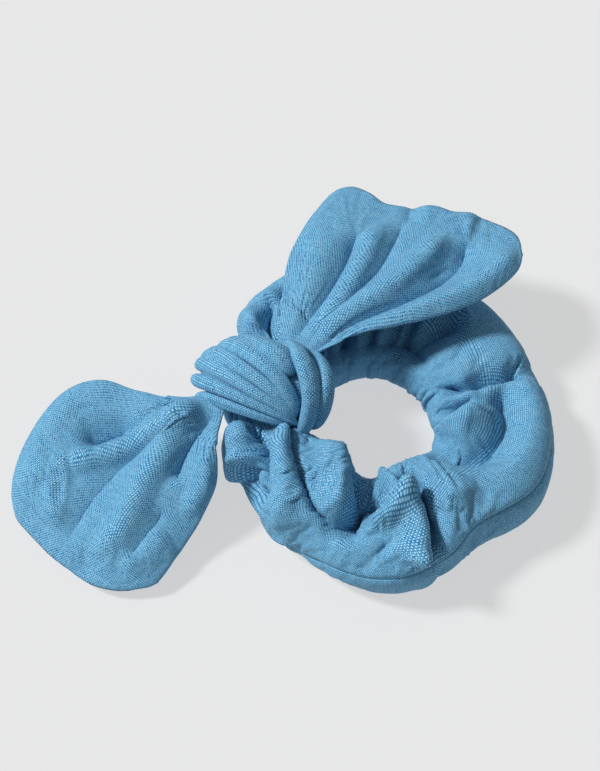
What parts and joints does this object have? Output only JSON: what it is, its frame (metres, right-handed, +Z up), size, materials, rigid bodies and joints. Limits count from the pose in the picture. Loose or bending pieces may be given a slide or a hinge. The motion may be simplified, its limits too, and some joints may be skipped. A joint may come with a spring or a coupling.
{
  "type": "scrunchie",
  "caption": "Gathered fabric tube hair tie on a hidden elastic, with a knotted bow of loose cloth ears that swing and lift.",
  "frame": {"origin": "centre of the footprint, on the table it lies on", "axes": "+Z up out of the table, +X from the lower ear towards the ring, +Y towards the upper ear"},
  "size_m": [0.1744, 0.1392, 0.0434],
  "materials": {
    "blue_woven_cloth": "matte plain weave, mid blue with paler slubs",
    "blue_woven_cloth_back": "matte plain weave, in the lee of the light",
    "blue_thread": "spun sewing thread",
    "white_elastic": "matte knitted elastic"
  },
  "bodies": {
    "ring": {"ring_cover": "blue_woven_cloth", "ring_seam_thread": "blue_thread", "ring_closing_thread": "blue_thread", "elastic_band": "white_elastic", "elastic_lap_stitches": "blue_thread", "tie_back_loop": "blue_woven_cloth_back", "tie_knot_wrap": "blue_woven_cloth"},
    "upper_neck": {"tie_upper_neck": "blue_woven_cloth"},
    "upper_ear": {"upper_ear_face_panel": "blue_woven_cloth", "upper_ear_back_panel": "blue_woven_cloth_back", "upper_ear_seam_thread": "blue_thread"},
    "lower_neck": {"tie_lower_neck": "blue_woven_cloth"},
    "lower_ear": {"lower_ear_face_panel": "blue_woven_cloth", "lower_ear_back_panel": "blue_woven_cloth_back", "lower_ear_seam_thread": "blue_thread"}
  },
  "joints": [
    {"name": "upper_ear_swing", "type": "hinge", "parent": "ring", "child": "upper_neck", "pos_m": [0.00181, -0.00032, 0.0335], "axis": [0, 0, 1], "range_deg": [-20, 20]},
    {"name": "upper_ear_lift", "type": "hinge", "parent": "upper_neck", "child": "upper_ear", "pos_m": [0.00765, 0.00653, 0.0335], "axis": [0.7604, -0.6494, 0], "range_deg": [0, 75]},
    {"name": "lower_ear_swing", "type": "hinge", "parent": "ring", "child": "lower_neck", "pos_m": [-0.01796, -0.00682, 0.0262], "axis": [0, 0, 1], "range_deg": [-20, 2]},
    {"name": "lower_ear_lift", "type": "hinge", "parent": "lower_neck", "child": "lower_ear", "pos_m": [-0.02449, -0.01302, 0.0262], "axis": [-0.6884, 0.7254, 0], "range_deg": [0, 45]}
  ]
}
